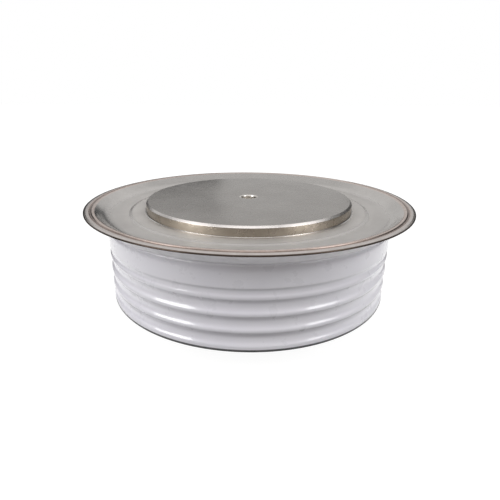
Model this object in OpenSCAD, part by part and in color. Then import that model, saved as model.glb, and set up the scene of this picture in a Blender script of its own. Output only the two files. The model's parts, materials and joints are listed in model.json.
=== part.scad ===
// Disc thyristor: a press-pack capsule with a wafer clamped between two copper poles.
// Frame: millimetres, +Z up along the capsule's axis, origin at the centre of the anode contact face.
// The cathode flange is at the top, and the gate terminal points along +Y.

/* [Capsule] */
// Height over the two contact faces
total_h = 26; // [25.5:0.1:27]
// Diameter of the contact face on each pole
contact_d = 47; // [45:0.5:48]
// Diameter over the welded rim
rim_d = 73; // [72:0.1:74]
// Height of each contact face above the flange around it
contact_proud = 2.2; // [2:0.1:2.4]
// Chamfer around each contact face
contact_chamfer = 0.6; // [0.2:0.05:0.8]
// Diameter of the dowel hole in each contact face
dowel_d = 3.5; // [3:0.1:4]
// Depth of the dowel holes
dowel_depth = 2; // [1.5:0.1:2.5]
// Chamfer at the mouth of the dowel holes
dowel_chamfer = 0.2; // [0.1:0.05:0.3]

/* [Poles] */
// Width of the shoulder that the flange is brazed to, in the space shared from contact face to rim
shoulder_w = 2.5; // [2:0.1:3]
// Height of the anode pole
anode_pole_h = 10.6; // [10:0.1:11]
// Diameter of the boss that presses on the wafer stack
boss_d = 44; // [42:0.5:44.5]
// Height of that boss below the cathode pole's shoulder
boss_h = 2.7; // [2.3:0.1:3.2]

/* [Flanges] */
// Width of the welded lip outside the weld groove
lip_w = 1.4; // [0.9:0.05:2.1]
// Depth of the rim's highest line below the cathode contact face
rim_drop = 0.4; // [0.3:0.05:0.6]
// Sheet thickness of the cathode and anode flanges
flange_t = 0.35; // [0.3:0.05:0.5]
// Distance of the flange's small step outside the cathode pole's shoulder
step_w = 1; // [0.5:0.05:1.2]
// Height of that step
step_h = 0.15; // [0.1:0.05:0.35]
// Width of that step's ramp
step_ramp = 0.8; // [0.5:0.1:1]
// Distance of the ridge at the top of the dish outside the ceramic
ridge_w = 2.5; // [2.2:0.1:2.8]
// Radius of the dish at its foot
dish_r = 4; // [2:0.2:4.6]
// Bend radius at the ridge
ridge_r = 0.6; // [0.5:0.05:0.7]
// Steepest angle of the dish
dish_angle = 40; // [32:1:52]
// Steepest angle of the weld ring's skirt
skirt_angle = 47; // [42:1:54]
// Steepest angle of the anode flange
anode_dish_angle = 60; // [55:1:65]
// Distance of the weld groove in the rim outside the ridge
weld_groove_offset = 0.6; // [0.5:0.05:1]
// Width of the weld groove
weld_groove_w = 0.6; // [0.4:0.05:0.8]
// Width of the weld groove's floor
weld_floor_w = 0.2; // [0.18:0.02:0.3]
// Metal left under the weld groove
weld_web = 0.1; // [0.08:0.01:0.14]
// Thickness of the cathode flange's lip outside the groove
lip_t = 0.2; // [0.18:0.01:0.3]
// Chamfer on the two edges of the welded rim
rim_edge = 0.06; // [0.05:0.01:0.1]
// Sheet thickness of the weld ring on the ceramic
weld_t = 0.3; // [0.25:0.05:0.4]
// Thickness of the weld ring's lip
weld_lip_t = 0.14; // [0.12:0.01:0.26]
// Free height between the cathode flange and the weld ring's foot
weld_gap = 0.75; // [0.3:0.05:0.8]
// Bend radius of the weld ring and of the anode flange
bend_r = 0.9; // [0.7:0.1:1]
// Width of the brazed foot on each end of the ceramic
foot_w = 2.6; // [2:0.1:2.8]

/* [Ceramic] */
// Wall thickness of the ceramic
ceramic_wall = 4.6; // [4.2:0.1:5]
// Gap between the poles' shoulders and the ceramic's bore
ceramic_gap = 1.4; // [1.2:0.1:1.6]
// Height of the ceramic's lower end above the anode contact face
ceramic_lift = 5; // [4.6:0.1:5.2]
// Chamfer at both ends of the ceramic
ceramic_chamfer = 0.5; // [0.3:0.1:0.6]
// Number of grooves
rib_n = 3; // [2:1:3]
// Width of the crest between two grooves
rib_crest_w = 0.55; // [0.4:0.05:0.8]
// Depth of a groove
rib_groove_depth = 0.6; // [0.4:0.1:0.8]
// Width of the narrow groove under the plain band
neck_groove_w = 1.6; // [1.2:0.1:1.8]
// Depth of the narrow groove
neck_groove_depth = 0.3; // [0.2:0.05:0.4]
// Height of the plain land below the lowest groove
rib_land_h = 1.35; // [1.2:0.05:1.5]
// Height of the plain band above the narrow groove
band_h = 4.55; // [4.2:0.05:4.9]

/* [Wafer stack] */
// Distance of the edge of the anode's molybdenum disc outside the wafer
anode_moly_margin = 0.3; // [0.2:0.05:0.5]
// Thickness of the anode's molybdenum disc
anode_moly_t = 2.4; // [2:0.1:2.6]
// Distance of the silicon wafer's edge outside the boss, in the space shared from boss to shoulder
wafer_margin = 3; // [2.8:0.1:3.2]
// Distance of the edge of the anode's molybdenum disc inside the poles' shoulders
shoulder_margin = 0.7; // [0.5:0.05:1]
// Thickness of the silicon wafer
wafer_t = 0.7; // [0.5:0.1:0.9]
// Width of the bevel around the wafer
bevel_w = 1.5; // [1.2:0.1:1.7]
// Thickness of the cathode's molybdenum disc
cathode_moly_t = 1; // [0.8:0.1:1.2]
// Thickness of the silver foil under the cathode pole
foil_t = 0.2; // [0.1:0.05:0.3]
// Diameter of the gate window through the disc and the foil
window_d = 5; // [4.8:0.1:5.6]
// Gap between the boss and the passivation rubber
passivation_gap = 0.5; // [0.3:0.1:0.8]
// Height of the passivation rubber above the wafer
passivation_h = 0.6; // [0.4:0.1:0.8]
// Height of the centring ring
centring_h = 3; // [2.6:0.1:3.4]

/* [Gate] */
// Distance of the gate lead and terminal below the top of the ceramic
gate_drop = 2.6; // [2.5:0.05:2.8]
// Diameter of the recess in the cathode pole
recess_d = 7; // [6.8:0.1:7.4]
// Diameter of the gate pin's tip
pin_d = 2; // [1.6:0.1:2.4]
// Diameter of the gate pin's head
pin_head_d = 4.2; // [4:0.1:4.4]
// Height of the gate pin's head
pin_head_h = 1.5; // [1.4:0.1:1.6]
// Number of disc springs on the pin
spring_n = 3; // [2:1:3]
// Thickness of a disc spring
spring_t = 0.2; // [0.15:0.05:0.25]
// Height of a disc spring's cone
spring_cone_h = 0.3; // [0.2:0.05:0.3]
// Bore of the disc springs and of the washer above them
spring_bore_d = 2.2; // [2:0.1:2.6]
// Thickness of the washer above the springs
washer_t = 0.3; // [0.2:0.05:0.4]
// End thickness of the insulating cup
cup_end_t = 0.4; // [0.3:0.05:0.5]
// Diameter of the gate lead
lead_d = 1; // [0.8:0.1:1.1]
// Diameter of the sleeve on the gate lead
sleeve_d = 2.6; // [2.4:0.1:2.8]
// Diameter of the gate tube in the ceramic
tube_d = 2.4; // [2.2:0.1:2.6]
// Diameter of the closed end of the gate tube, which takes a push-on receptacle
terminal_d = 1.5; // [1.4:0.05:1.6]
// Distance of the terminal's tip from the capsule's axis
terminal_reach = 36.4; // [35.8:0.1:36.4]
// Length of the terminal past the taper, in the space shared from spot face to tip
terminal_l = 3.4; // [2.8:0.1:3.4]
// Chamfer at the terminal's tip
terminal_chamfer = 0.25; // [0.2:0.05:0.35]
// Diameter of the eyelet that seals the gate tube to the ceramic
eyelet_d = 3.6; // [3.4:0.1:4]
// Thickness of the eyelet
eyelet_t = 0.9; // [0.7:0.1:1.1]
// Depth of the spot face under the eyelet
spot_face_depth = 0.5; // [0.3:0.05:0.6]
// Length of the gate tube that stands inside the ceramic's bore
tube_inside = 0.5; // [0.3:0.1:0.6]
// Length of the gate tube's taper
tube_taper = 0.6; // [0.4:0.1:0.8]
// Depth of the lead in the pin's head, and in the terminal past the taper
lead_depth = 1; // [0.8:0.1:1.2]

/* [Clearances] */
// Gap all round a brazed, soldered or sleeved piece
joint_gap = 0.05; // [0.03:0.01:0.08]
// Gap all round a piece that is laid in place
loose_gap = 0.1; // [0.06:0.02:0.2]

/* [Quality] */
// Straight pieces in a full circle
facets = 96; // [64:8:160]
// Straight pieces in each bend of a sheet
bend_steps = 5; // [3:1:8]

/* [Hidden] */
$fn = facets;

// Radii, from the contact faces out to the rim, whose widths share the space between them
contact_r = contact_d / 2;
rim_r = rim_d / 2;
flange_bore_r = contact_r + joint_gap;
housing_w = shoulder_w + ceramic_gap + ceramic_wall + ridge_w + weld_groove_offset + lip_w;
housing_share = (rim_r - contact_r) / housing_w;
shoulder_r = contact_r + shoulder_w * housing_share;
step_r = shoulder_r + step_w;
ceramic_bore_r = shoulder_r + ceramic_gap * housing_share;
ceramic_r = ceramic_bore_r + ceramic_wall * housing_share;
ridge_at_r = ceramic_r + ridge_w * housing_share;
weld_groove_r = ridge_at_r + weld_groove_offset * housing_share;

// Radii of the wafer stack, from the boss out to the shoulders, whose widths share the space between them
boss_r = boss_d / 2;
stack_share = (shoulder_r - boss_r) / (wafer_margin + anode_moly_margin + shoulder_margin);
wafer_r = boss_r + wafer_margin * stack_share;
bevel_r = wafer_r - bevel_w * stack_share;
passivation_r = boss_r + passivation_gap * stack_share;
anode_moly_r = wafer_r + anode_moly_margin * stack_share;

// Radii of the gate's wire, sleeve, tube and terminal
lead_r = lead_d / 2;
sleeve_r = sleeve_d / 2;
tube_r = tube_d / 2;
terminal_r = terminal_d / 2;

// Heights of the wafer stack, from the anode contact face up
anode_moly_z = anode_pole_h;
wafer_z = anode_moly_z + anode_moly_t;
cathode_moly_z = wafer_z + wafer_t;
foil_z = cathode_moly_z + cathode_moly_t;
boss_z = foil_z + foil_t;
shoulder_z = boss_z + boss_h;

// Heights of the housing
anode_seat_z = contact_proud + flange_t;
cathode_seat_z = total_h - contact_proud - flange_t;
dish_z = cathode_seat_z - step_h;
ridge_z = total_h - rim_drop;
weld_z = ridge_z - flange_t + weld_web;
ceramic_top_z = dish_z - weld_gap - weld_t;

// Grooves of the ceramic: they share the height between the lower land and the plain band
neck_groove_z = ceramic_top_z - band_h - neck_groove_w / 2;
rib_zone_h = neck_groove_z - neck_groove_w / 2 - ceramic_lift - rib_land_h;
rib_pitch = rib_zone_h / rib_n;
rib_groove_w = rib_pitch - rib_crest_w;
rib_first_z = ceramic_lift + rib_land_h + rib_groove_w / 2;

// Gate stack, from the pin's head up
gate_z = ceramic_top_z - gate_drop;
pin_head_z = gate_z - pin_head_h / 2;
spring_z = pin_head_z + pin_head_h;
spring_h = spring_t + spring_cone_h;
washer_z = spring_z + spring_n * spring_h;
cup_end_z = washer_z + washer_t;
recess_top_z = cup_end_z + cup_end_t;
cup_r = recess_d / 2 - loose_gap;
cup_bore_r = pin_head_d / 2 + 2 * loose_gap;
spring_r = cup_bore_r - loose_gap;

// Gate lead and tube, from the axis outwards
lead_start_y = pin_head_d / 2 - lead_depth;
tube_start_y = ceramic_bore_r - tube_inside;
spot_face_y = ceramic_r - spot_face_depth;
terminal_share = (terminal_reach - spot_face_y) / (eyelet_t + tube_taper + terminal_l);
eyelet_end_y = spot_face_y + eyelet_t * terminal_share;
taper_end_y = eyelet_end_y + tube_taper * terminal_share;
lead_end_y = taper_end_y + lead_depth * terminal_share;

// Cut that passes cleanly through a face
over = 1;

// Points of an arc around a centre, from one angle to another
function arc(centre, r, from, to) =
    [for (i = [0:bend_steps]) centre + r * [cos(from + (to - from) * i / bend_steps),
                                            sin(from + (to - from) * i / bend_steps)]];

// Radial length of a rising double bend with the given radii and angle
function bend_run(rise, r_low, r_high, angle) =
    (r_low + r_high) * sin(angle) + (rise - (r_low + r_high) * (1 - cos(angle))) / tan(angle);

// One side of a sheet that rises outwards by a double bend and ends level at end_r;
// side is the distance of this side above the sheet's middle line
function double_bend(z_low, z_high, end_r, r_low, r_high, angle, side) =
    let (start_r = end_r - bend_run(z_high - z_low, r_low, r_high, angle))
    concat(arc([start_r, z_low + r_low], r_low - side, -90, -90 + angle),
           arc([end_r, z_high - r_high], r_high + side, 90 + angle, 90));

// Radius of the arc that cuts a groove of the given width and depth
function groove_arc_r(w, depth) = (pow(w / 2, 2) + pow(depth, 2)) / (2 * depth);

// Points in the opposite order
function backwards(points) = [for (i = [len(points) - 1:-1:0]) points[i]];

// Lays a shape made along +Z on the gate's axis, so that its +Z points along +Y
module on_gate_axis() {
    translate([0, 0, gate_z])
        rotate([-90, 0, 0])
            children();
}

// Flat disc with an optional hole
module disc(d, t, hole_d = 0) {
    difference() {
        cylinder(d = d, h = t);
        if (hole_d > 0)
            translate([0, 0, -over])
                cylinder(d = hole_d, h = t + 2 * over);
    }
}

// Blind dowel hole with its mouth at the origin, going down
module dowel_hole() {
    rotate_extrude()
        polygon([
            [0, over], [dowel_d / 2 + dowel_chamfer, over], [dowel_d / 2 + dowel_chamfer, 0],
            [dowel_d / 2, -dowel_chamfer], [dowel_d / 2, -dowel_depth], [0, -dowel_depth]
        ]);
}

// Upper pole: contact face, shoulder for the flange, boss on the stack, recess and slot for the gate
module cathode_pole() {
    color("#a8a49f")
    difference() {
        rotate_extrude()
            polygon([
                [0, boss_z], [boss_r, boss_z], [boss_r, shoulder_z], [shoulder_r, shoulder_z],
                [shoulder_r, cathode_seat_z], [contact_r, cathode_seat_z],
                [contact_r, total_h - contact_chamfer], [contact_r - contact_chamfer, total_h], [0, total_h]
            ]);
        translate([0, 0, total_h])
            dowel_hole();
        translate([0, 0, boss_z - over])
            cylinder(d = recess_d, h = recess_top_z - boss_z + over);
        slot_r = sleeve_r + joint_gap;
        translate([-slot_r, 0, boss_z - over])
            cube([2 * slot_r, shoulder_r + over, gate_z + slot_r - boss_z + over]);
    }
}

// Dished upper flange: seat on the pole, small step, dish, ridge, weld groove and lip
module cathode_flange() {
    half = flange_t / 2;
    step_half_w = step_ramp / 2;
    groove_z = weld_z + weld_web;
    lip_z = weld_z + lip_t;
    top = concat(
        [[flange_bore_r, cathode_seat_z + flange_t], [step_r - step_half_w, cathode_seat_z + flange_t],
         [step_r + step_half_w, dish_z + flange_t]],
        double_bend(dish_z + half, ridge_z - half, ridge_at_r, dish_r, ridge_r, dish_angle, half),
        [[weld_groove_r - weld_groove_w / 2, ridge_z], [weld_groove_r - weld_floor_w / 2, groove_z],
         [weld_groove_r + weld_floor_w / 2, groove_z], [weld_groove_r + weld_groove_w / 2, lip_z],
         [rim_r - rim_edge, lip_z], [rim_r, lip_z - rim_edge], [rim_r, weld_z]]);
    bottom = concat(
        [[flange_bore_r, cathode_seat_z], [step_r - step_half_w, cathode_seat_z],
         [step_r + step_half_w, dish_z]],
        double_bend(dish_z + half, ridge_z - half, ridge_at_r, dish_r, ridge_r, dish_angle, -half),
        [[weld_groove_r - weld_groove_w / 2, weld_z]]);
    color("#bdb8b1")
    rotate_extrude()
        polygon(concat(top, backwards(bottom)));
}

// Ring on the ceramic: brazed foot, conical skirt and the lip that is welded to the cathode flange
module weld_ring() {
    half = weld_t / 2;
    foot_z = ceramic_top_z + half;
    run = bend_run(weld_z - half - foot_z, bend_r, ridge_r, skirt_angle);
    foot_r = weld_groove_r - run - foot_w;
    top = concat(
        [[foot_r, ceramic_top_z + weld_t]],
        double_bend(foot_z, weld_z - half, weld_groove_r, bend_r, ridge_r, skirt_angle, half),
        [[rim_r, weld_z]]);
    bottom = concat(
        [[foot_r, ceramic_top_z]],
        double_bend(foot_z, weld_z - half, weld_groove_r, bend_r, ridge_r, skirt_angle, -half),
        [[weld_groove_r + weld_groove_w / 2, weld_z - weld_lip_t],
         [rim_r - rim_edge, weld_z - weld_lip_t], [rim_r, weld_z - weld_lip_t + rim_edge]]);
    color("#c2ab9d")
    rotate_extrude()
        polygon(concat(top, backwards(bottom)));
}

// Section of the ceramic ring, with each groove a true arc
module ceramic_section() {
    difference() {
        polygon([
            [ceramic_bore_r, ceramic_lift], [ceramic_r - ceramic_chamfer, ceramic_lift],
            [ceramic_r, ceramic_lift + ceramic_chamfer], [ceramic_r, ceramic_top_z - ceramic_chamfer],
            [ceramic_r - ceramic_chamfer, ceramic_top_z], [ceramic_bore_r, ceramic_top_z]
        ]);
        for (i = [0:rib_n - 1])
            ceramic_groove(rib_first_z + i * rib_pitch, rib_groove_w, rib_groove_depth);
        ceramic_groove(neck_groove_z, neck_groove_w, neck_groove_depth);
    }
}

// Cutting circle of one groove in the ceramic's section
module ceramic_groove(z, w, depth) {
    arc_r = groove_arc_r(w, depth);
    translate([ceramic_r + arc_r - depth, z])
        circle(r = arc_r);
}

// Glazed ring: grooves below, plain band above, and a hole with a spot face for the gate tube
module ceramic_ring() {
    color("#e9e8ef")
    difference() {
        rotate_extrude()
            ceramic_section();
        on_gate_axis() {
            cylinder(r = tube_r + joint_gap, h = ceramic_r + over);
            translate([0, 0, spot_face_y])
                cylinder(r = eyelet_d / 2 + loose_gap, h = ceramic_r);
        }
    }
}

// Dished lower flange: seat under the anode pole's shoulder, and foot under the ceramic
module anode_flange() {
    half = flange_t / 2;
    seat_mid_z = contact_proud + half;
    foot_mid_z = ceramic_lift - half;
    run = bend_run(foot_mid_z - seat_mid_z, bend_r, bend_r, anode_dish_angle);
    bend_end_r = shoulder_r + loose_gap + run;
    top = concat(
        [[flange_bore_r, anode_seat_z]],
        double_bend(seat_mid_z, foot_mid_z, bend_end_r, bend_r, bend_r, anode_dish_angle, half),
        [[bend_end_r + foot_w, ceramic_lift]]);
    bottom = concat(
        [[flange_bore_r, contact_proud]],
        double_bend(seat_mid_z, foot_mid_z, bend_end_r, bend_r, bend_r, anode_dish_angle, -half),
        [[bend_end_r + foot_w, ceramic_lift - flange_t]]);
    color("#b5b0aa")
    rotate_extrude()
        polygon(concat(top, backwards(bottom)));
}

// Lower pole: contact face below, shoulder on the flange, flat top under the stack
module anode_pole() {
    color("#a8a49f")
    difference() {
        rotate_extrude()
            polygon([
                [0, 0], [contact_r - contact_chamfer, 0], [contact_r, contact_chamfer],
                [contact_r, anode_seat_z], [shoulder_r, anode_seat_z],
                [shoulder_r, anode_pole_h], [0, anode_pole_h]
            ]);
        mirror([0, 0, 1])
            dowel_hole();
    }
}

// Disc that the wafer is alloyed to
module anode_molybdenum_disc() {
    color("#8f9296")
    translate([0, 0, anode_moly_z])
        disc(2 * anode_moly_r, anode_moly_t);
}

// Wafer with a bevelled edge
module silicon_wafer() {
    color("#4a4f5c")
    translate([0, 0, wafer_z])
        rotate_extrude()
            polygon([[0, 0], [wafer_r, 0], [bevel_r, wafer_t], [0, wafer_t]]);
}

// Disc on the wafer's cathode, with a window for the gate pin
module cathode_molybdenum_disc() {
    color("#9a9da1")
    translate([0, 0, cathode_moly_z])
        disc(2 * boss_r, cathode_moly_t, window_d);
}

// Soft foil that evens out the pressure under the cathode pole
module cathode_foil() {
    color("#d5d6d8")
    translate([0, 0, foil_z])
        disc(2 * boss_r, foil_t, window_d);
}

// Rubber over the wafer's bevel
module passivation_ring() {
    top_z = cathode_moly_z + passivation_h;
    color("#e7e4dc")
    rotate_extrude()
        polygon([
            [passivation_r, cathode_moly_z], [bevel_r, cathode_moly_z], [wafer_r, wafer_z],
            [anode_moly_r, wafer_z], [anode_moly_r, wafer_z + wafer_t],
            [(bevel_r + wafer_r) / 2, top_z], [passivation_r, top_z]
        ]);
}

// Plastic ring that keeps the stack in the middle of the ceramic
module centring_ring() {
    color("#f2f2f0")
    translate([0, 0, anode_pole_h])
        disc(2 * (ceramic_bore_r - loose_gap), centring_h, 2 * (anode_moly_r + loose_gap));
}

// Gate pin: tip on the wafer, head with a side hole for the lead
module gate_pin() {
    color("#c9b27a")
    difference() {
        union() {
            translate([0, 0, cathode_moly_z])
                cylinder(d = pin_d, h = pin_head_z - cathode_moly_z + pin_head_h / 2);
            translate([0, 0, pin_head_z])
                cylinder(d = pin_head_d, h = pin_head_h);
        }
        on_gate_axis()
            translate([0, 0, lead_start_y])
                cylinder(r = lead_r + joint_gap, h = pin_head_d);
    }
}

// Disc springs that press the pin down, stacked cone to cone
module gate_springs() {
    color("#8d9095")
    for (i = [0:spring_n - 1])
        translate([0, 0, spring_z + i * spring_h])
            rotate_extrude()
                disc_spring_section(i % 2 == 0 ? 0 : spring_cone_h);
}

// Section of one disc spring whose inner edge is lifted by the given height
module disc_spring_section(inner_lift) {
    outer_lift = spring_cone_h - inner_lift;
    polygon([
        [spring_bore_d / 2, inner_lift], [spring_r, outer_lift],
        [spring_r, outer_lift + spring_t], [spring_bore_d / 2, inner_lift + spring_t]
    ]);
}

// Washer between the springs and the cup
module gate_washer() {
    color("#b9bbbe")
    translate([0, 0, washer_z])
        disc(2 * spring_r, washer_t, spring_bore_d);
}

// Insulating cup around the pin, with a side slot for the lead
module gate_cup() {
    slot_r = lead_r + 2 * loose_gap;
    color("#f4efe2")
    difference() {
        translate([0, 0, boss_z])
            cylinder(r = cup_r, h = recess_top_z - boss_z);
        translate([0, 0, boss_z - over])
            cylinder(r = cup_bore_r, h = cup_end_z - boss_z + over);
        translate([-slot_r, 0, boss_z - over])
            cube([2 * slot_r, recess_d, gate_z + slot_r - boss_z + over]);
    }
}

// Wire from the pin's head into the gate tube
module gate_lead() {
    color("#b87333")
    on_gate_axis()
        translate([0, 0, lead_start_y])
            cylinder(r = lead_r, h = lead_end_y - lead_start_y);
}

// Insulating sleeve on the wire, from the cup to the gate tube
module gate_lead_sleeve() {
    color("#f6f6f4")
    on_gate_axis()
        translate([0, 0, cup_r + loose_gap])
            disc(sleeve_d, tube_start_y - cup_r - loose_gap, lead_d + 2 * joint_gap);
}

// Tube through the ceramic, drawn down to a closed terminal
module gate_tube() {
    bore_r = lead_r + joint_gap;
    color("#c6c2ba")
    on_gate_axis()
        rotate_extrude()
            polygon([
                [bore_r, tube_start_y], [tube_r, tube_start_y], [tube_r, eyelet_end_y],
                [terminal_r, taper_end_y], [terminal_r, terminal_reach - terminal_chamfer],
                [terminal_r - terminal_chamfer, terminal_reach], [0, terminal_reach], [0, lead_end_y],
                [bore_r, lead_end_y]
            ]);
}

// Collar that seals the gate tube to the spot face on the ceramic
module gate_eyelet() {
    color("#c6c2ba")
    on_gate_axis()
        translate([0, 0, spot_face_y])
            disc(eyelet_d, eyelet_end_y - spot_face_y, tube_d + 2 * joint_gap);
}

cathode_pole();
cathode_flange();
weld_ring();
ceramic_ring();
anode_flange();
anode_pole();
anode_molybdenum_disc();
silicon_wafer();
cathode_molybdenum_disc();
cathode_foil();
passivation_ring();
centring_ring();
gate_pin();
gate_springs();
gate_washer();
gate_cup();
gate_lead();
gate_lead_sleeve();
gate_tube();
gate_eyelet();
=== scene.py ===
import json
import math

import bpy
from mathutils import Matrix, Vector


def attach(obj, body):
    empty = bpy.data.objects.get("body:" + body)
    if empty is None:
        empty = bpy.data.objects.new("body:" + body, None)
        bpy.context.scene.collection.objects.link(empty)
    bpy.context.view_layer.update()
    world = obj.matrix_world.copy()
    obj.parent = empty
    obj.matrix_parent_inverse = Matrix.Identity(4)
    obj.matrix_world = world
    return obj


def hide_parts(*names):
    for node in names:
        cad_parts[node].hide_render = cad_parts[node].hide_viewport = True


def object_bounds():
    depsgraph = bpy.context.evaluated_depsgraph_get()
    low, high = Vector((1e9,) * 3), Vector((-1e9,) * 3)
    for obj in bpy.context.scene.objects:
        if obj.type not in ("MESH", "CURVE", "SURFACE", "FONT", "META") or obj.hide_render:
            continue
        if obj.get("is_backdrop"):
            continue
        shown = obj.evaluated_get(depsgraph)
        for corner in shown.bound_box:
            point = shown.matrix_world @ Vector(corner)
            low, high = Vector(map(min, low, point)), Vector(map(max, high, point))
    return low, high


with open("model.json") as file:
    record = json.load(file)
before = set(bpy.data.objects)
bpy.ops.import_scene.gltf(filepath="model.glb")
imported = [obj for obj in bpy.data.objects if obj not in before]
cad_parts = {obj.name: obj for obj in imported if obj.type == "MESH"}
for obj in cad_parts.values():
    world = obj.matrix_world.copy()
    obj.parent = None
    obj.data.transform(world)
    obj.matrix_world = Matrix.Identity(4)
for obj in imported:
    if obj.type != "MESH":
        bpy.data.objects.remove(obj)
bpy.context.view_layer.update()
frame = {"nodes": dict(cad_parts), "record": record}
nodes = frame["nodes"]
scene = bpy.context.scene
scene.view_settings.view_transform = "Standard"
MM = 0.001
SEGMENTS = 300

# Sizes of the capsule in millimetres, as in the CAD model: poles
TOP_Z = 26.0
CONTACT_R = 23.5
SHOULDER_R = 26.0
SHOULDER_LOW_Z = 17.6
BOSS_R = 22.0
BOSS_LOW_Z = 14.9
DOWEL_R = 1.75
DOWEL_DEPTH = 2.0
GATE_WELL_R = 3.5
GATE_WELL_TOP_Z = 22.6
GATE_SLOT_HALF = 1.35
ANODE_SEAT_Z = 2.2
ANODE_TOP_Z = 10.6

# Flanges and weld ring
FIT = 0.05
FLANGE_T = 0.35
FLANGE_TOP_Z = 23.8
SEAT_Z = 23.45
STEP_R = 27.0
STEP_HALF = 0.4
DISH_Z = 23.3
DISH_BEND_R = 4.0
DISH_ANGLE = 40
RIDGE_R = 34.5
RIDGE_Z = 25.6
RIDGE_BEND_R = 0.6
GROOVE_R = 35.1
GROOVE_HALF = 0.3
LIP_Z = 25.55
RIM_R = 36.5
WELD_Z = 25.35
WELD_T = 0.3
WELD_LIP_T = 0.14
SKIRT_BEND_R = 0.9
SKIRT_ANGLE = 47
LOWER_BEND_R = 0.9
LOWER_ANGLE = 60
FOOT_W = 2.6

# Ceramic ring
CERAMIC_R = 32.0
BORE_R = 27.4
CERAMIC_TOP_Z = 22.25
CERAMIC_LOW_Z = 5.0
BAND_GROOVE_Z = 16.9
BAND_GROOVE_W = 1.6
BAND_GROOVE_DEPTH = 0.3
RIB_COUNT = 3
RIB_GROOVE_Z = 7.7
RIB_GROOVE_W = 2.7
RIB_GROOVE_DEPTH = 0.6
RIB_PITCH = 3.25

# Gate tube and eyelet, along +Y
GATE_Z = 19.65
TUBE_R = 1.2
TUBE_BORE_R = 0.55
TUBE_START_Y = 26.9
TUBE_BORE_END_Y = 34.0
NECK_END_Y = 33.0
TERMINAL_R = 0.75
TERMINAL_END_Y = 36.4
TUBE_HOLE_R = 1.25
EYELET_R = 1.8
EYELET_SEAT_R = 1.9
EYELET_START_Y = 31.5
EYELET_END_Y = 32.4

# Fine edges that only the scene has
EDGE_RUN = 0.46
EDGE_DROP = 0.4
EDGE_ROUND = 0.1
DOWEL_ROUND = 0.35
FILLET_H = 0.2
CERAMIC_ROUND = 0.5
CREST_STEP = 0.04
CREST_SPREAD = 3.2


# Profiles
def arc(r, z, radius, start, end, steps):
    turn = (end - start) / steps
    angles = [math.radians(start + turn * i) for i in range(steps + 1)]
    return [(r + radius * math.cos(a), z + radius * math.sin(a)) for a in angles]


def rounded(corners, steps=6):
    """Points of an open chain whose corners (r, z, radius) are rounded."""
    points = []
    for i, corner in enumerate(corners):
        radius = corner[2] if len(corner) > 2 else 0
        here = Vector(corner[:2])
        if radius == 0 or i in (0, len(corners) - 1):
            points.append(tuple(here))
            continue
        back = (Vector(corners[i - 1][:2]) - here).normalized()
        ahead = (Vector(corners[i + 1][:2]) - here).normalized()
        half = back.angle(ahead) / 2
        middle = here + (back + ahead).normalized() * (radius / math.sin(half))
        first = here + back * (radius / math.tan(half)) - middle
        last = here + ahead * (radius / math.tan(half)) - middle
        sweep = first.angle_signed(last)
        for k in range(steps + 1):
            turned = Matrix.Rotation(-sweep * k / steps, 2) @ first
            points.append(tuple(middle + turned))
    return points


def bend_run(rise, r_low, r_high, angle):
    """How far out a sheet comes while two bends lift it by the rise."""
    a = math.radians(angle)
    both = r_low + r_high
    return both * math.sin(a) + (rise - both * (1 - math.cos(a))) / math.tan(a)


def double_bend(z_low, z_high, end_r, r_low, r_high, angle, side, steps=10):
    """One side of a sheet that rises outwards by two bends."""
    start_r = end_r - bend_run(z_high - z_low, r_low, r_high, angle)
    low = arc(start_r, z_low + r_low, r_low - side, -90, -90 + angle, steps)
    high = arc(end_r, z_high - r_high, r_high + side, 90 + angle, 90, steps)
    return low + high


# Mesh helpers
def finish_mesh(mesh, angle=32):
    mesh.validate()
    mesh.shade_smooth()
    mesh.set_sharp_from_angle(angle=math.radians(angle))


def lathe(name, profile, closed, along_y=False):
    """Solid of revolution from a profile in millimetres."""
    verts = []
    rings = []
    for r, z in profile:
        if r < 1e-6:
            rings.append([len(verts)] * SEGMENTS)
            verts.append((0, 0, z * MM))
            continue
        rings.append(list(range(len(verts), len(verts) + SEGMENTS)))
        for k in range(SEGMENTS):
            a = 2 * math.pi * k / SEGMENTS
            verts.append((r * MM * math.cos(a), r * MM * math.sin(a), z * MM))
    if along_y:
        verts = [(-x, z, y + GATE_Z * MM) for x, y, z in verts]
    faces = []
    pairs = list(zip(rings, rings[1:]))
    if closed:
        pairs.append((rings[-1], rings[0]))
    for low, high in pairs:
        for k in range(SEGMENTS):
            n = (k + 1) % SEGMENTS
            corner = []
            for v in (low[k], low[n], high[n], high[k]):
                if v not in corner:
                    corner.append(v)
            if len(corner) > 2:
                faces.append(corner)
    mesh = bpy.data.meshes.new(name)
    mesh.from_pydata(verts, [], faces)
    finish_mesh(mesh)
    obj = bpy.data.objects.new(name, mesh)
    scene.collection.objects.link(obj)
    return obj


def box_cutter(low, high):
    """A box in millimetres to be cut out of a piece."""
    verts = []
    for x in (low[0], high[0]):
        for y in (low[1], high[1]):
            for z in (low[2], high[2]):
                verts.append((x * MM, y * MM, z * MM))
    ends = [(0, 1, 3, 2), (4, 6, 7, 5)]
    sides = [(0, 4, 5, 1), (2, 3, 7, 6), (0, 2, 6, 4), (1, 5, 7, 3)]
    mesh = bpy.data.meshes.new("cutter")
    mesh.from_pydata(verts, [], ends + sides)
    obj = bpy.data.objects.new("cutter", mesh)
    scene.collection.objects.link(obj)
    return obj


def cut(obj, cutter):
    """Takes the cutter's volume out of a piece."""
    modifier = obj.modifiers.new("cut", "BOOLEAN")
    modifier.operation = "DIFFERENCE"
    modifier.solver = "EXACT"
    modifier.object = cutter
    bpy.context.view_layer.update()
    made = bpy.data.meshes.new_from_object(obj.evaluated_get(bpy.context.evaluated_depsgraph_get()))
    obj.modifiers.clear()
    obj.data = made
    finish_mesh(made)
    bpy.data.objects.remove(cutter)


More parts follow.
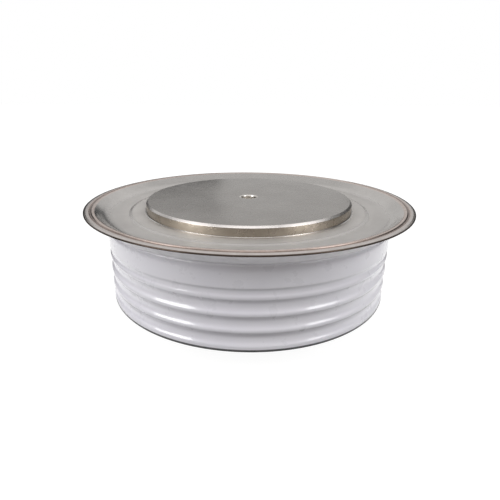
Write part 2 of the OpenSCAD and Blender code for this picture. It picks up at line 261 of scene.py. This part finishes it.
# Material helpers
class Paint:
    """A node material with short calls for the nodes used here, in millimetres."""

    LEVEL = (0.5, 0.5, 0.5)

    def __init__(self, name):
        self.mat = bpy.data.materials.new(name)
        self.mat.use_nodes = True
        self.tree = self.mat.node_tree
        self.bsdf = self.tree.nodes["Principled BSDF"]
        coords = self.tree.nodes.new("ShaderNodeTexCoord")
        scale = self.tree.nodes.new("ShaderNodeVectorMath")
        scale.operation = "SCALE"
        scale.inputs["Scale"].default_value = 1 / MM
        self.link(coords.outputs["Object"], scale.inputs[0])
        self.mm = scale.outputs[0]

    def link(self, out, into):
        self.tree.links.new(out, into)

    def set(self, **values):
        for key, value in values.items():
            self.bsdf.inputs[key.replace("_", " ")].default_value = value

    def noise(self, scale, detail=4.0, rough=0.55):
        node = self.tree.nodes.new("ShaderNodeTexNoise")
        node.inputs["Scale"].default_value = scale
        node.inputs["Detail"].default_value = detail
        node.inputs["Roughness"].default_value = rough
        self.link(self.mm, node.inputs["Vector"])
        return node.outputs["Fac"]

    def rings(self, scale, distortion):
        node = self.tree.nodes.new("ShaderNodeTexWave")
        node.wave_type = "RINGS"
        node.rings_direction = "Z"
        node.inputs["Scale"].default_value = scale
        node.inputs["Distortion"].default_value = distortion
        node.inputs["Detail"].default_value = 2.0
        node.inputs["Detail Scale"].default_value = 1.5
        self.link(self.mm, node.inputs["Vector"])
        return node.outputs["Fac"]

    def ramp(self, fac, stops):
        node = self.tree.nodes.new("ShaderNodeValToRGB")
        for element, (place, colour) in zip(node.color_ramp.elements, stops):
            element.position = place
            element.color = (*colour, 1)
        self.link(fac, node.inputs["Fac"])
        return node.outputs["Color"]

    def cloud(self, scale, detail, dark, light):
        """A colour that drifts between a dark and a light one."""
        return self.ramp(self.noise(scale, detail), [(0.3, dark), (0.7, light)])

    def range(self, fac, low, high, from_low, from_high):
        node = self.tree.nodes.new("ShaderNodeMapRange")
        node.inputs["From Min"].default_value = from_low
        node.inputs["From Max"].default_value = from_high
        node.inputs["To Min"].default_value = low
        node.inputs["To Max"].default_value = high
        self.link(fac, node.inputs["Value"])
        return node.outputs["Result"]

    def patchy(self, scale, detail, low, high):
        """A value that drifts between a low and a high one."""
        return self.range(self.noise(scale, detail), low, high, 0.3, 0.7)

    def past(self, value, start, end):
        """0 before start and 1 past end."""
        return self.range(value, 0.0, 1.0, start, end)

    def before(self, value, start, end):
        """1 before start and 0 past end."""
        return self.range(value, 1.0, 0.0, start, end)

    def within(self, value, middle, inner, outer):
        """1 up to inner from the middle and 0 past outer."""
        node = self.tree.nodes.new("ShaderNodeMath")
        node.operation = "MULTIPLY"
        self.link(self.past(value, middle - outer, middle - inner), node.inputs[0])
        self.link(self.before(value, middle + inner, middle + outer), node.inputs[1])
        return node.outputs[0]

    def mix(self, fac, a, b, kind="MIX"):
        node = self.tree.nodes.new("ShaderNodeMix")
        node.data_type = "RGBA"
        node.blend_type = kind
        sockets = [s for s in node.inputs if s.type == "RGBA"]
        for value, socket in zip((a, b), sockets):
            if isinstance(value, tuple):
                socket.default_value = (*value, 1)
            else:
                self.link(value, socket)
        if isinstance(fac, float):
            node.inputs["Factor"].default_value = fac
        else:
            self.link(fac, node.inputs["Factor"])
        return [s for s in node.outputs if s.type == "RGBA"][0]

    def radius(self):
        """Distance from the capsule's axis."""
        flat = self.tree.nodes.new("ShaderNodeVectorMath")
        flat.operation = "MULTIPLY"
        flat.inputs[1].default_value = (1, 1, 0)
        self.link(self.mm, flat.inputs[0])
        length = self.tree.nodes.new("ShaderNodeVectorMath")
        length.operation = "LENGTH"
        self.link(flat.outputs[0], length.inputs[0])
        return length.outputs["Value"]

    def height(self):
        """Height above the table."""
        split = self.tree.nodes.new("ShaderNodeSeparateXYZ")
        self.link(self.mm, split.inputs[0])
        return split.outputs["Z"]

    def facing_up(self):
        """How level the surface is: 1 where it is flat, 0 where it stands upright."""
        node = self.tree.nodes.new("ShaderNodeNewGeometry")
        split = self.tree.nodes.new("ShaderNodeSeparateXYZ")
        self.link(node.outputs["Normal"], split.inputs[0])
        size = self.tree.nodes.new("ShaderNodeMath")
        size.operation = "ABSOLUTE"
        self.link(split.outputs["Z"], size.inputs[0])
        return size.outputs["Value"]

    def colour(self, out):
        self.link(out, self.bsdf.inputs["Base Color"])

    def roughness(self, out):
        self.link(out, self.bsdf.inputs["Roughness"])

    def bump(self, heights, strength):
        """Adds one bump after another, each (height, distance in millimetres)."""
        normal = None
        for height, distance in heights:
            node = self.tree.nodes.new("ShaderNodeBump")
            node.inputs["Strength"].default_value = strength
            node.inputs["Distance"].default_value = distance * MM
            self.link(height, node.inputs["Height"])
            if normal:
                self.link(normal, node.inputs["Normal"])
            normal = node.outputs["Normal"]
        self.link(normal, self.bsdf.inputs["Normal"])


# Materials of the pieces that are seen
def pole_nickel():
    """Turned faces, browner walls, edges painted lighter as a highlight, and painted light in the dowel
    hole.
    """
    p = Paint("pole_nickel")
    p.set(Metallic=1.0)
    face = p.cloud(0.12, 5, (0.33, 0.316, 0.302), (0.39, 0.376, 0.361))
    wall = p.cloud(0.3, 4, (0.37, 0.325, 0.265), (0.46, 0.41, 0.35))
    # Painted light: the dowel hole and its mouth get a much lighter colour than the face.
    painted_hole_light = p.cloud(1.5, 4, (0.74, 0.71, 0.67), (0.84, 0.82, 0.79))
    upward = p.facing_up()
    # Painted highlight: the chamfered edge, less level than the face, gets a lighter colour than the face.
    edge = p.mix(p.past(upward, 0.86, 0.95), (0.66, 0.64, 0.625), face)
    shade = p.mix(p.past(upward, 0.4, 0.55), wall, edge)
    hole = p.before(p.radius(), DOWEL_R + 0.3, DOWEL_R + 0.45)
    p.colour(p.mix(hole, shade, painted_hole_light))
    p.roughness(p.patchy(0.5, 6, 0.24, 0.32))
    turned = p.mix(p.past(upward, 0.3, 0.8), p.LEVEL, p.rings(0.3, 0.4))
    p.bump([(turned, 0.0003)], 0.4)
    return p.mat


def flange_nickel():
    """A matt flat, a polished step, slope and rim, copper at the weld, painted shade in the weld groove and
    a painted dark reflection on the outer edge.
    """
    p = Paint("flange_nickel")
    sheet = p.cloud(0.16, 5, (0.54, 0.525, 0.51), (0.6, 0.585, 0.57))
    copper = p.cloud(0.7, 4, (0.58, 0.48, 0.43), (0.68, 0.59, 0.55))
    lip = p.cloud(0.5, 4, (0.56, 0.52, 0.5), (0.66, 0.62, 0.6))
    # Painted shade: a darker brown for the weld groove, where shade falls in the recess.
    weld = p.cloud(0.9, 4, (0.22, 0.165, 0.14), (0.34, 0.265, 0.235))
    r = p.radius()
    shade = p.mix(p.past(r, RIDGE_R - 0.5, RIDGE_R - 0.2), sheet, copper)
    shade = p.mix(p.past(r, GROOVE_R + 0.3, GROOVE_R + 0.6), shade, lip)
    shade = p.mix(p.within(r, GROOVE_R, 0.12, 0.3), shade, weld)
    # Painted dark reflection: the outer edge of the rim is coloured near-black brown.
    p.colour(p.mix(p.past(r, RIM_R - 0.26, RIM_R - 0.14), shade, (0.1, 0.075, 0.06)))
    matt = p.patchy(0.4, 6, 0.4, 0.47)
    polished = p.patchy(0.4, 6, 0.18, 0.23)
    finish = p.mix(p.before(r, STEP_R + 0.6, STEP_R + 2), matt, (0.6, 0.6, 0.6))
    finish = p.mix(p.within(r, STEP_R, 0.2, 0.5), finish, polished)
    finish = p.mix(p.before(r, CONTACT_R + 0.3, CONTACT_R + 0.5), finish, polished)
    p.roughness(p.mix(p.past(r, STEP_R + 3, STEP_R + 5), finish, polished))
    p.link(p.range(r, 0.9, 1.0, STEP_R - 1, STEP_R - 0.5), p.bsdf.inputs["Metallic"])
    turned = p.mix(p.before(r, STEP_R + 1, STEP_R + 3), p.LEVEL, p.rings(0.7, 0.8))
    p.bump([(turned, 0.0005), (p.noise(0.25, 2), 0.0004)], 0.4)
    return p.mat


def weld_metal():
    """A grey neck that turns brown towards the rim, and a painted dark reflection on the outer welded edge.
    """
    p = Paint("weld_metal")
    p.set(Metallic=1.0)
    edge = p.cloud(0.6, 5, (0.3, 0.25, 0.22), (0.4, 0.35, 0.32))
    neck = p.cloud(0.6, 5, (0.6, 0.59, 0.6), (0.68, 0.67, 0.68))
    r = p.radius()
    shade = p.mix(p.past(r, GROOVE_R - 0.1, GROOVE_R + 0.5), neck, edge)
    # Painted dark reflection: the outer edge face is coloured near-black brown.
    p.colour(p.mix(p.past(r, RIM_R - 0.3, RIM_R - 0.1), shade, (0.07, 0.05, 0.04)))
    p.roughness(p.patchy(0.8, 5, 0.42, 0.52))
    p.bump([(p.noise(0.8, 3), 0.001)], 0.4)
    return p.mat


def glazed_ceramic():
    """White glaze over a bare band at the foot, painted dark as the shade under the bottom edge."""
    p = Paint("glazed_ceramic")
    p.set(IOR=1.5, Coat_Roughness=0.06)
    tint = p.ramp(p.noise(0.05, 3), [(0.35, (0.75, 0.742, 0.81)), (0.65, (0.785, 0.777, 0.835))])
    speck = p.ramp(p.noise(3.5, 2, 0.4), [(0.25, (0.985, 0.985, 0.985)), (0.4, (1.0, 1.0, 1.0))])
    glaze = p.mix(1.0, tint, speck, "MULTIPLY")
    # Painted shade: the band along the bottom rounding has no glaze coat and is coloured near-black.
    bare_and_painted_shade = p.cloud(1.2, 4, (0.07, 0.07, 0.075), (0.11, 0.11, 0.115))
    band = (CERAMIC_LOW_Z + 0.64, CERAMIC_LOW_Z + 0.76)
    p.colour(p.mix(p.before(p.height(), *band), glaze, bare_and_painted_shade))
    p.link(p.past(p.height(), *band), p.bsdf.inputs["Coat Weight"])
    p.roughness(p.patchy(0.35, 4, 0.25, 0.35))
    p.bump([(p.noise(0.2, 2), 0.006)], 0.35)
    return p.mat


# Materials of the inner pieces and the gate terminal
def inner_metal(name, dark, light, rough, scale):
    p = Paint(name)
    p.set(Metallic=1.0)
    p.colour(p.cloud(scale, 5, dark, light))
    p.roughness(p.patchy(scale * 2, 5, rough - 0.05, rough + 0.05))
    p.bump([(p.noise(scale * 5, 5), 0.002)], 0.4)
    return p.mat


def inner_plain(name, dark, light, rough, scale):
    p = Paint(name)
    p.colour(p.cloud(scale, 4, dark, light))
    p.roughness(p.patchy(scale * 2, 4, rough - 0.06, rough + 0.06))
    p.bump([(p.noise(scale * 4, 4), 0.004)], 0.4)
    return p.mat


paints = {
    "pole_nickel": pole_nickel(),
    "flange_nickel": flange_nickel(),
    "weld_metal": weld_metal(),
    "glazed_ceramic": glazed_ceramic(),
    "molybdenum": inner_metal("molybdenum", (0.26, 0.27, 0.29), (0.32, 0.33, 0.35), 0.38, 0.6),
    "silicon": inner_metal("silicon", (0.06, 0.07, 0.1), (0.09, 0.1, 0.13), 0.12, 0.2),
    "silver_foil": inner_metal("silver_foil", (0.62, 0.64, 0.66), (0.72, 0.73, 0.74), 0.3, 0.8),
    "silicone_rubber": inner_plain("silicone_rubber", (0.74, 0.72, 0.67), (0.82, 0.8, 0.76), 0.5, 0.5),
    "white_plastic": inner_plain("white_plastic", (0.83, 0.83, 0.81), (0.89, 0.89, 0.88), 0.45, 0.5),
    "gate_metal": inner_metal("gate_metal", (0.55, 0.42, 0.17), (0.64, 0.5, 0.23), 0.28, 1.0),
    "spring_steel": inner_metal("spring_steel", (0.24, 0.25, 0.27), (0.31, 0.32, 0.34), 0.34, 1.2),
    "copper_wire": inner_metal("copper_wire", (0.45, 0.17, 0.06), (0.54, 0.23, 0.1), 0.32, 1.5),
    "terminal_nickel": inner_metal("terminal_nickel", (0.52, 0.5, 0.46), (0.62, 0.6, 0.56), 0.28, 0.9),
}
slots = {row["node"]: row["material_slot"] for row in frame["record"]["subparts"]}

for name, node in nodes.items():
    node.data.materials.clear()
    node.data.materials.append(paints[slots[name]])


def stand_for(obj, node):
    """Dresses a piece and puts it in the place of its CAD node."""
    slot = slots[node]
    obj.data.materials.clear()
    obj.data.materials.append(paints[slot])
    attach(obj, "root")
    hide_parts(node)


# Cathode pole, with a slot for the gate lead
dowel_end_z = TOP_Z - DOWEL_DEPTH
profile = rounded([
    (0, GATE_WELL_TOP_Z), (GATE_WELL_R, GATE_WELL_TOP_Z), (GATE_WELL_R, BOSS_LOW_Z, 0.1),
    (BOSS_R, BOSS_LOW_Z, 0.2), (BOSS_R, SHOULDER_LOW_Z), (SHOULDER_R, SHOULDER_LOW_Z, 0.2),
    (SHOULDER_R, SEAT_Z), (CONTACT_R, SEAT_Z), (CONTACT_R, TOP_Z - EDGE_DROP, EDGE_ROUND),
    (CONTACT_R - EDGE_RUN, TOP_Z, EDGE_ROUND), (DOWEL_R, TOP_Z, DOWEL_ROUND),
    (DOWEL_R, dowel_end_z, 0.15), (0, dowel_end_z),
], 10)
pole = lathe("turned_cathode_pole", profile, False)
slot_low = (-GATE_SLOT_HALF, 0, BOSS_LOW_Z - 1)
slot_high = (GATE_SLOT_HALF, SHOULDER_R + 1, GATE_Z + GATE_SLOT_HALF)
cut(pole, box_cutter(slot_low, slot_high))
stand_for(pole, "cathode_pole")

# Cathode flange, with a fillet of braze at the foot of the pole
half = FLANGE_T / 2
inner_r = CONTACT_R + FIT
dish_top_z = DISH_Z + FLANGE_T
dish = (DISH_Z + half, RIDGE_Z - half, RIDGE_R, DISH_BEND_R, RIDGE_BEND_R, DISH_ANGLE)
groove_floor_z = WELD_Z + 0.1
top = rounded([
    (inner_r, SEAT_Z + 0.2), (inner_r, FLANGE_TOP_Z + FILLET_H, 0.02),
    (inner_r + 0.08, FLANGE_TOP_Z + 0.08, 0.12), (inner_r + 0.3, FLANGE_TOP_Z, 0.3),
    (STEP_R - STEP_HALF, FLANGE_TOP_Z, 2.0), (STEP_R + STEP_HALF, dish_top_z, 2.0), (29.5, dish_top_z),
])
top += double_bend(*dish, half, 14)
top += rounded([
    (RIDGE_R, RIDGE_Z), (GROOVE_R - GROOVE_HALF, RIDGE_Z, 0.12), (GROOVE_R - 0.1, groove_floor_z, 0.06),
    (GROOVE_R + 0.1, groove_floor_z, 0.06), (GROOVE_R + GROOVE_HALF, LIP_Z, 0.12), (35.95, LIP_Z, 0.7),
    (RIM_R, LIP_Z - 0.11, 0.09), (RIM_R, WELD_Z),
], 8)[1:]
low = [(inner_r, SEAT_Z), (STEP_R - STEP_HALF, SEAT_Z), (STEP_R + STEP_HALF, DISH_Z)]
low += double_bend(*dish, -half, 14)
low += [(GROOVE_R - GROOVE_HALF, WELD_Z)]
flange = lathe("spun_cathode_flange", low + top[::-1], True)
stand_for(flange, "cathode_flange")

# Weld ring
half = WELD_T / 2
skirt = (CERAMIC_TOP_Z + half, WELD_Z - half, GROOVE_R, SKIRT_BEND_R, RIDGE_BEND_R, SKIRT_ANGLE)
lip_low_z = WELD_Z - WELD_LIP_T
skirt_low = double_bend(*skirt, -half)
foot_r = skirt_low[0][0] - FOOT_W
top = [(foot_r, CERAMIC_TOP_Z + WELD_T)] + double_bend(*skirt, half) + [(RIM_R, WELD_Z)]
low = [(foot_r, CERAMIC_TOP_Z)] + skirt_low
low += rounded([
    (GROOVE_R + 0.05, WELD_Z - 0.28), (GROOVE_R + GROOVE_HALF, lip_low_z, 0.1), (RIM_R, lip_low_z, 0.06),
    (RIM_R, WELD_Z),
])[1:-1]
ring = lathe("pressed_weld_ring", low + top[::-1], True)
stand_for(ring, "weld_ring")


# Ceramic ring: round grooves with soft crests
def groove_depth(z, middle, width, depth):
    radius = (width * width / 4 + depth * depth) / (2 * depth)
    off = abs(z - middle)
    if off >= width / 2:
        return 0.0
    return math.sqrt(radius * radius - off * off) - (radius - depth)


def ceramic_radius(z):
    depth = groove_depth(z, BAND_GROOVE_Z, BAND_GROOVE_W, BAND_GROOVE_DEPTH)
    for i in range(RIB_COUNT):
        depth += groove_depth(z, RIB_GROOVE_Z + RIB_PITCH * i, RIB_GROOVE_W, RIB_GROOVE_DEPTH)
    return CERAMIC_R - depth


def soft_radius(z):
    """The radius averaged over a short height, as a glaze rounds the crests."""
    total = 0.0
    weight = 0.0
    for k in range(-8, 9):
        share = math.exp(-0.5 * (k / CREST_SPREAD) ** 2)
        total += share * ceramic_radius(z + k * CREST_STEP)
        weight += share
    return total / weight


low_corner = (CERAMIC_R, CERAMIC_LOW_Z, CERAMIC_ROUND)
top_corner = (CERAMIC_R, CERAMIC_TOP_Z, CERAMIC_ROUND)
ribs_low_z = CERAMIC_LOW_Z + 0.6
ribs_top_z = CERAMIC_TOP_Z - 0.6
steps = 140
outside = rounded([(BORE_R, CERAMIC_LOW_Z), low_corner, (CERAMIC_R, CERAMIC_LOW_Z + 0.8)], 8)[1:-1]
for i in range(steps + 1):
    z = ribs_low_z + (ribs_top_z - ribs_low_z) * i / steps
    outside.append((soft_radius(z), z))
outside += rounded([(CERAMIC_R, 21.0), top_corner, (BORE_R, CERAMIC_TOP_Z)], 8)[1:-1]
profile = [(BORE_R, CERAMIC_LOW_Z)] + outside + [(BORE_R, CERAMIC_TOP_Z)]
ceramic = lathe("ribbed_ceramic_ring", profile, True)
hole = [
    (0, 20.0), (TUBE_HOLE_R, 20.0), (TUBE_HOLE_R, EYELET_START_Y), (EYELET_SEAT_R, EYELET_START_Y),
    (EYELET_SEAT_R, 36.0), (0, 36.0),
]
cut(ceramic, lathe("cutter", hole, False, True))
stand_for(ceramic, "ceramic_ring")

# Anode flange
half = FLANGE_T / 2
seat_mid = ANODE_SEAT_Z + half
foot_mid = CERAMIC_LOW_Z - half
end_r = SHOULDER_R + 0.1 + bend_run(foot_mid - seat_mid, LOWER_BEND_R, LOWER_BEND_R, LOWER_ANGLE)
dish = (seat_mid, foot_mid, end_r, LOWER_BEND_R, LOWER_BEND_R, LOWER_ANGLE)
foot_end_r = end_r + FOOT_W
seat_top_z = ANODE_SEAT_Z + FLANGE_T
top = [(inner_r, seat_top_z)] + double_bend(*dish, half) + [(foot_end_r, CERAMIC_LOW_Z)]
low = [(inner_r, ANODE_SEAT_Z)] + double_bend(*dish, -half) + [(foot_end_r, CERAMIC_LOW_Z - FLANGE_T)]
lower_flange = lathe("pressed_anode_flange", low + top[::-1], True)
stand_for(lower_flange, "anode_flange")

# Anode pole
profile = rounded([
    (0, DOWEL_DEPTH), (DOWEL_R, DOWEL_DEPTH, 0.15), (DOWEL_R, 0, DOWEL_ROUND),
    (CONTACT_R - EDGE_RUN, 0, EDGE_ROUND), (CONTACT_R, EDGE_DROP, EDGE_ROUND), (CONTACT_R, seat_top_z),
    (SHOULDER_R, seat_top_z, 0.2), (SHOULDER_R, ANODE_TOP_Z, 0.2), (0, ANODE_TOP_Z),
], 10)
lower_pole = lathe("turned_anode_pole", profile, False)
stand_for(lower_pole, "anode_pole")

# Gate tube and eyelet
tube = lathe("drawn_gate_tube", rounded([
    (0, TUBE_BORE_END_Y), (TUBE_BORE_R, TUBE_BORE_END_Y), (TUBE_BORE_R, TUBE_START_Y),
    (TUBE_R, TUBE_START_Y, 0.1), (TUBE_R, EYELET_END_Y, 0.5), (TERMINAL_R, NECK_END_Y, 0.4),
    (TERMINAL_R, TERMINAL_END_Y, 0.3), (0, TERMINAL_END_Y),
]), False, True)
stand_for(tube, "gate_tube")
eyelet = lathe("stamped_gate_eyelet", rounded([
    (TUBE_HOLE_R, EYELET_START_Y), (EYELET_R, EYELET_START_Y, 0.05), (EYELET_R, EYELET_END_Y, 0.2),
    (TUBE_HOLE_R, EYELET_END_Y),
]), True, True)
stand_for(eyelet, "gate_eyelet")


# Stage helpers
def card(name, places, faces, colour, strength):
    """A glowing card that the metal mirrors and the camera doesn't see."""
    mesh = bpy.data.meshes.new(name)
    mesh.from_pydata(places, [], faces)
    obj = bpy.data.objects.new(name, mesh)
    scene.collection.objects.link(obj)
    mat = bpy.data.materials.new(name)
    mat.use_nodes = True
    tree = mat.node_tree
    tree.nodes.clear()
    glow = tree.nodes.new("ShaderNodeEmission")
    glow.inputs["Color"].default_value = (*colour, 1)
    glow.inputs["Strength"].default_value = strength
    out = tree.nodes.new("ShaderNodeOutputMaterial")
    tree.links.new(glow.outputs[0], out.inputs["Surface"])
    mesh.materials.append(mat)
    obj.visible_camera = False
    obj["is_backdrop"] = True
    return obj


def upright_card(name, start, end, low, high, colour, strength):
    """A card that stands on a line from start to end."""
    places = [(*start, low), (*end, low), (*end, high), (*start, high)]
    return card(name, places, [(0, 1, 2, 3)], colour, strength)


def level_card(name, left, right, front, back, z, colour, strength):
    places = [(left, front, z), (right, front, z), (right, back, z), (left, back, z)]
    return card(name, places, [(0, 1, 2, 3)], colour, strength)


def ring_card(name, inner, outer, start, end, count, colour, strength):
    """A part of a flat ring just above the table."""
    places = []
    for k in range(count + 1):
        a = math.radians(start + (end - start) * k / count)
        places.append((inner * math.cos(a), inner * math.sin(a), 0.0005))
        places.append((outer * math.cos(a), outer * math.sin(a), 0.0005))
    faces = [(2 * k, 2 * k + 1, 2 * k + 3, 2 * k + 2) for k in range(count)]
    return card(name, places, faces, colour, strength)


def seen(tree):
    """1 for rays from the camera, a gloss or a glass, and 0 for the rest."""
    path = tree.nodes.new("ShaderNodeLightPath")
    first = tree.nodes.new("ShaderNodeMath")
    first.operation = "MAXIMUM"
    tree.links.new(path.outputs["Is Camera Ray"], first.inputs[0])
    tree.links.new(path.outputs["Is Glossy Ray"], first.inputs[1])
    second = tree.nodes.new("ShaderNodeMath")
    second.operation = "MAXIMUM"
    tree.links.new(first.outputs[0], second.inputs[0])
    tree.links.new(path.outputs["Is Transmission Ray"], second.inputs[1])
    return second.outputs[0]


def by_distance(tree, near, far, low, high):
    """Goes from low near the object to high further out on the floor."""
    place = tree.nodes.new("ShaderNodeNewGeometry")
    away = tree.nodes.new("ShaderNodeVectorMath")
    away.operation = "LENGTH"
    tree.links.new(place.outputs["Position"], away.inputs[0])
    share = tree.nodes.new("ShaderNodeMapRange")
    share.interpolation_type = "SMOOTHSTEP"
    share.inputs["From Min"].default_value = near
    share.inputs["From Max"].default_value = far
    share.inputs["To Min"].default_value = low
    share.inputs["To Max"].default_value = high
    tree.links.new(away.outputs["Value"], share.inputs["Value"])
    return share.outputs["Result"]


def lamp(name, azimuth, elevation, distance, size, power):
    """An area lamp aimed at the middle of the capsule."""
    data = bpy.data.lights.new(name, "AREA")
    data.shape = "RECTANGLE"
    data.size = size[0]
    data.size_y = size[1]
    data.energy = power
    obj = bpy.data.objects.new(name, data)
    a = math.radians(azimuth)
    e = math.radians(elevation)
    aim = Vector((0, 0, 0.014))
    away = Vector((math.sin(a) * math.cos(e), -math.cos(a) * math.cos(e), math.sin(e)))
    obj.location = aim + away * distance
    obj.rotation_mode = "QUATERNION"
    obj.rotation_quaternion = (-away).to_track_quat("-Z", "Y")
    scene.collection.objects.link(obj)
    return obj


# Floor: white to the camera, with a painted shadow right under the object where metal mirrors it
FLOOR_HALF = 3
FLOOR_Z = -0.0001
floor_mesh = bpy.data.meshes.new("floor")
floor_mesh.from_pydata([
    (-FLOOR_HALF, -FLOOR_HALF, FLOOR_Z), (FLOOR_HALF, -FLOOR_HALF, FLOOR_Z),
    (FLOOR_HALF, FLOOR_HALF, FLOOR_Z), (-FLOOR_HALF, FLOOR_HALF, FLOOR_Z),
], [], [(0, 1, 2, 3)])
floor = bpy.data.objects.new("floor", floor_mesh)
scene.collection.objects.link(floor)
floor_mat = bpy.data.materials.new("floor")
floor_mat.use_nodes = True
tree = floor_mat.node_tree
tree.nodes.clear()
diffuse = tree.nodes.new("ShaderNodeBsdfDiffuse")
diffuse.inputs["Color"].default_value = (0.13, 0.13, 0.13, 1)
glow = tree.nodes.new("ShaderNodeEmission")
glow.inputs["Color"].default_value = (1, 1, 1, 1)
path = tree.nodes.new("ShaderNodeLightPath")
view = tree.nodes.new("ShaderNodeMix")
tree.links.new(path.outputs["Is Camera Ray"], view.inputs["Factor"])
tree.links.new(by_distance(tree, 0.0315, 0.042, 0.05, 0.9), view.inputs["A"])
tree.links.new(by_distance(tree, 0.05, 0.11, 0.94, 1.0), view.inputs["B"])
level = tree.nodes.new("ShaderNodeMath")
level.operation = "MULTIPLY"
tree.links.new(seen(tree), level.inputs[0])
tree.links.new(view.outputs["Result"], level.inputs[1])
tree.links.new(level.outputs[0], glow.inputs["Strength"])
both = tree.nodes.new("ShaderNodeAddShader")
tree.links.new(diffuse.outputs[0], both.inputs[0])
tree.links.new(glow.outputs[0], both.inputs[1])
out = tree.nodes.new("ShaderNodeOutputMaterial")
tree.links.new(both.outputs[0], out.inputs["Surface"])
floor_mesh.materials.append(floor_mat)
floor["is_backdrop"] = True

# World: white where it is seen, soft as a light
world = bpy.data.worlds.new("studio")
scene.world = world
world.use_nodes = True
tree = world.node_tree
tree.nodes.clear()
soft = tree.nodes.new("ShaderNodeBackground")
soft.inputs["Color"].default_value = (0.92, 0.95, 1.0, 1)
soft.inputs["Strength"].default_value = 0.35
white = tree.nodes.new("ShaderNodeBackground")
white.inputs["Color"].default_value = (1, 1, 1, 1)
white.inputs["Strength"].default_value = 1.0
choice = tree.nodes.new("ShaderNodeMixShader")
tree.links.new(seen(tree), choice.inputs["Fac"])
tree.links.new(soft.outputs[0], choice.inputs[1])
tree.links.new(white.outputs[0], choice.inputs[2])
out = tree.nodes.new("ShaderNodeOutputWorld")
tree.links.new(choice.outputs[0], out.inputs["Surface"])

# Grey cards round the table, as in a small photo tent, in metres
TENT_X = 0.7
TENT_Y = 0.45
TENT_Z = 0.6
LOW_Z = 0.22
BACK_LEFT_X = -0.26
BACK_RIGHT_X = 0.28
CORNER_X = 0.35
GREY = (1, 0.99, 0.96)
BACK_GREY = (1, 0.985, 0.975)
for name, start, end, bottom, head, colour, strength in (
        ("back_card", (BACK_LEFT_X, TENT_Y), (BACK_RIGHT_X, TENT_Y), 0, LOW_Z, (1, 0.985, 0.97), 0.65),
        ("back_high", (-TENT_X, TENT_Y), (CORNER_X, TENT_Y), LOW_Z, TENT_Z, BACK_GREY, 0.8),
        ("back_corner", (CORNER_X, TENT_Y), (TENT_X, TENT_Y), LOW_Z, TENT_Z, BACK_GREY, 0.1),
        ("back_left", (-TENT_X, TENT_Y), (BACK_LEFT_X, TENT_Y), 0, LOW_Z, GREY, 0.05),
        ("back_right", (BACK_RIGHT_X, TENT_Y), (TENT_X, TENT_Y), 0, LOW_Z, GREY, 0.08),
        ("front_low", (TENT_X, -TENT_Y), (-TENT_X, -TENT_Y), 0, LOW_Z, (1, 0.93, 0.84), 0.4),
        ("front_high", (TENT_X, -TENT_Y), (-TENT_X, -TENT_Y), LOW_Z, TENT_Z, (1, 0.97, 0.93), 0.3),
        ("left_card", (-TENT_X, -TENT_Y), (-TENT_X, TENT_Y), 0, TENT_Z, GREY, 0.25),
        ("right_card", (TENT_X, TENT_Y), (TENT_X, -TENT_Y), 0, TENT_Z, GREY, 0.15),
):
    upright_card(name, start, end, bottom, head, colour, strength)
level_card("top_card", -TENT_X, TENT_X, -TENT_Y, TENT_Y, TENT_Z, (1, 0.99, 0.98), 0.66)

# Soft boxes under the tent's top, which the pole's edge and the step mirror
BOX_Z = 0.59
BOX_FRONT_Y = -0.38
for name, left, right, back in (
        ("left_box", -0.65, -0.27, 0.15), ("mid_box", -0.2, 0.2, -0.08), ("right_box", 0.27, 0.65, 0.15),
):
    box = level_card(name, left, right, BOX_FRONT_Y, back, BOX_Z, (1, 0.97, 0.96), 1.8)
    box.visible_diffuse = False

# Dark flags before the back card, which the dish and the step mirror
FLAG_Y = 0.43
for name, left, right, height in (
        ("slope_flag", -0.25, -0.03, 0.12), ("edge_flag", -0.5, -0.25, 0.08), ("step_flag", 0.14, 0.27, 0.1),
):
    flag = upright_card(name, (left, FLAG_Y), (right, FLAG_Y), 0, height, (0.85, 0.92, 1), 0.03)
    flag.visible_diffuse = False

# Dark cloths on the table, well clear of the object, which the rim's edge mirrors
for name, inner, outer, start, end, count in (
        ("near_cloth", 0.078, 0.16, 0, 360, 48), ("left_cloth", 0.16, 0.44, 90, 200, 24),
):
    cloth = ring_card(name, inner, outer, start, end, count, (1, 0.8, 0.65), 0.03)
    cloth.visible_diffuse = False
    cloth.visible_shadow = False

# Lamps
lamp("left_light", -60, 30, 0.4, (0.2, 0.16), 0.65)
lamp("right_light", 58, 34, 0.38, (0.14, 0.14), 0.36)
for name, azimuth, power in (("left_side", -88, 0.5), ("right_side", 88, 0.75)):
    side = lamp(name, azimuth, 22, 0.45, (0.25, 0.2), power)
    side.visible_glossy = False

# Camera, as fitted to the ellipses in the photo
PHOTO_PX = 500
FOCAL_PX = 399.3
CENTRE_PX = 242.1
SENSOR_MM = 36
PITCH = 20.68
ROLL = 0.26
data = bpy.data.cameras.new("camera")
data.sensor_width = SENSOR_MM
data.lens = FOCAL_PX / PHOTO_PX * SENSOR_MM
data.shift_x = (PHOTO_PX / 2 - CENTRE_PX) / PHOTO_PX
data.clip_start = 0.005
camera = bpy.data.objects.new("camera", data)
camera.rotation_mode = "QUATERNION"
turn = Matrix.Rotation(math.radians(90 - PITCH), 3, "X") @ Matrix.Rotation(math.radians(ROLL), 3, "Z")
camera.rotation_quaternion = turn.to_quaternion()
camera.location = (-1.47 * MM, -92 * MM, 47.34 * MM)
scene.collection.objects.link(camera)
scene.camera = camera

low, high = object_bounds()
